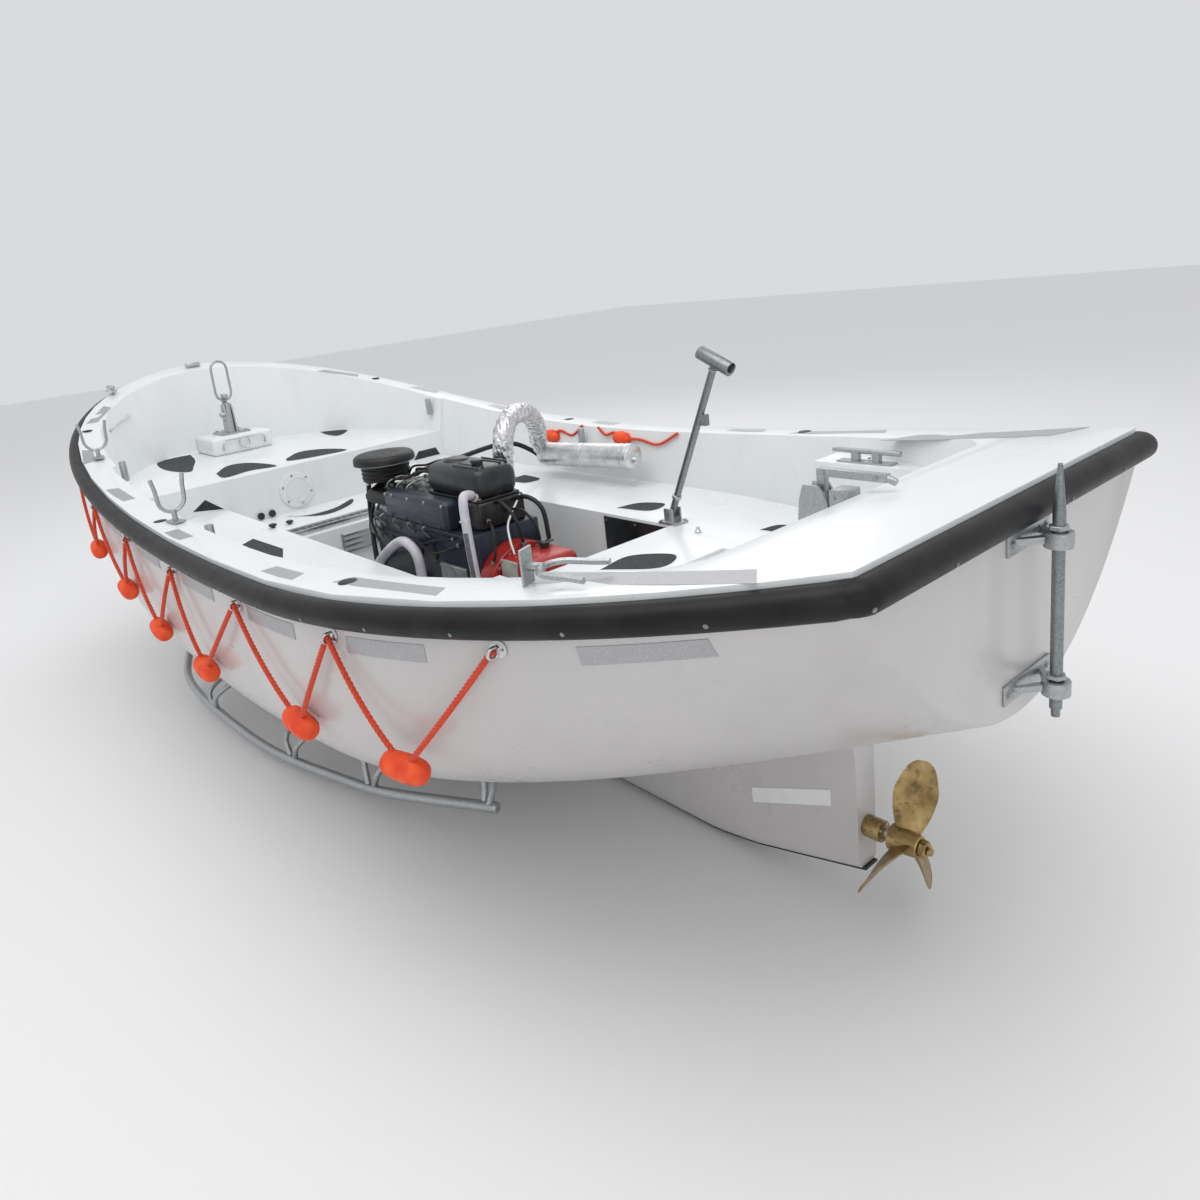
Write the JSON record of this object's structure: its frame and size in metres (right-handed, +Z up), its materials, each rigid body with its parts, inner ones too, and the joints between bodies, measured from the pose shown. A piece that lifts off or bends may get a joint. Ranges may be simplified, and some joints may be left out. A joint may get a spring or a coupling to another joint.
{
  "type": "open lifeboat",
  "caption": "Open ship's lifeboat with transom stern, deep skeg, inboard diesel, propeller, rubber fender, lifting hooks and looped grab lines.",
  "frame": {"origin": "on the centreline amidships, at the height of the waterline", "axes": "+X forwards to the bow, +Y to port, +Z up"},
  "size_m": [5.9456, 2.4928, 1.6573],
  "materials": {
    "gelcoat": "smooth white gelcoat over glass fibre",
    "rubber": "satin black",
    "bronze": "cast bronze",
    "galvanised": "dull galvanised",
    "stainless": "satin stainless",
    "black_paint": "satin black paint",
    "blue_paint": "satin dark blue paint",
    "red_paint": "satin red paint",
    "foil": "crumpled foil lagging",
    "grey_hose": "matt grey",
    "rope": "orange rope and floats"
  },
  "bodies": {
    "hull": {"hull_shell": "gelcoat", "inner_moulding": "gelcoat", "skeg": "gelcoat", "skeg_shoe": "black_paint", "fender": "rubber", "stern_bearing": "bronze", "upper_gudgeon": "galvanised", "lower_gudgeon": "galvanised", "fore_hook_pedestal": "gelcoat", "aft_hook_pedestal": "gelcoat", "fore_hook_frame": "galvanised", "pedestal_handle": "stainless", "aft_hook_frame": "galvanised", "folding_post_foot": "galvanised", "inspection_plate": "gelcoat", "well_side_panel": "rubber", "step_channel": "stainless", "engine_bearer_port": "gelcoat", "engine_bearer_starboard": "gelcoat", "engine_block": "blue_paint", "engine_head": "black_paint", "rocker_cover": "black_paint", "front_pulley": "black_paint", "flywheel_housing": "red_paint", "gearbox": "red_paint", "air_filter": "rubber", "intake_manifold": "black_paint", "exhaust_pipe": "foil", "exhaust_elbow": "galvanised", "silencer": "foil", "coolant_hose": "grey_hose", "sight_tube": "grey_hose", "fuel_hose": "rubber", "bilge_rail_port": "galvanised", "bilge_rail_starboard": "galvanised", "lifeline_port": "rope", "lifeline_starboard": "rope", "crutch_port": "galvanised", "crutch_bow_port": "galvanised", "crutch_lying": "galvanised", "silencer_hose": "rubber", "stem_fairlead": "stainless", "bow_chock": "stainless", "mooring_cleat": "galvanised", "canopy_socket_fore_port": "galvanised", "canopy_socket_fore_starboard": "galvanised", "canopy_socket_aft_port": "galvanised", "canopy_socket_aft_starboard": "galvanised"},
    "propeller_and_shaft": {"propeller": "bronze", "propeller_shaft": "stainless"},
    "rudder_stock": {"rudder_stock": "galvanised"},
    "folding_post": {"folding_post": "galvanised"},
    "fore_lifting_link": {"fore_lifting_link": "galvanised"},
    "aft_hook_lever": {"aft_hook_lever": "galvanised"}
  },
  "joints": [
    {"name": "propeller_spin", "type": "hinge", "parent": "hull", "child": "propeller_and_shaft", "pos_m": [-2.575, 0, -0.333], "axis": [1, 0, 0], "continuous": true},
    {"name": "rudder_stock_turn", "type": "hinge", "parent": "hull", "child": "rudder_stock", "pos_m": [-2.97, 0, 0.45], "axis": [0, 0, 1], "range_deg": [-35, 35]},
    {"name": "folding_post_fold", "type": "hinge", "parent": "hull", "child": "folding_post", "pos_m": [-1.25, -0.52, 0.34], "axis": [0, 1, 0], "range_deg": [-55, 25]},
    {"name": "fore_link_swing", "type": "hinge", "parent": "hull", "child": "fore_lifting_link", "pos_m": [2.32, 0, 0.795], "axis": [0, 1, 0], "range_deg": [-80, 80]},
    {"name": "aft_lever_lift", "type": "hinge", "parent": "hull", "child": "aft_hook_lever", "pos_m": [-2.352, 0, 0.695], "axis": [0, 1, 0], "range_deg": [0, 60]}
  ]
}
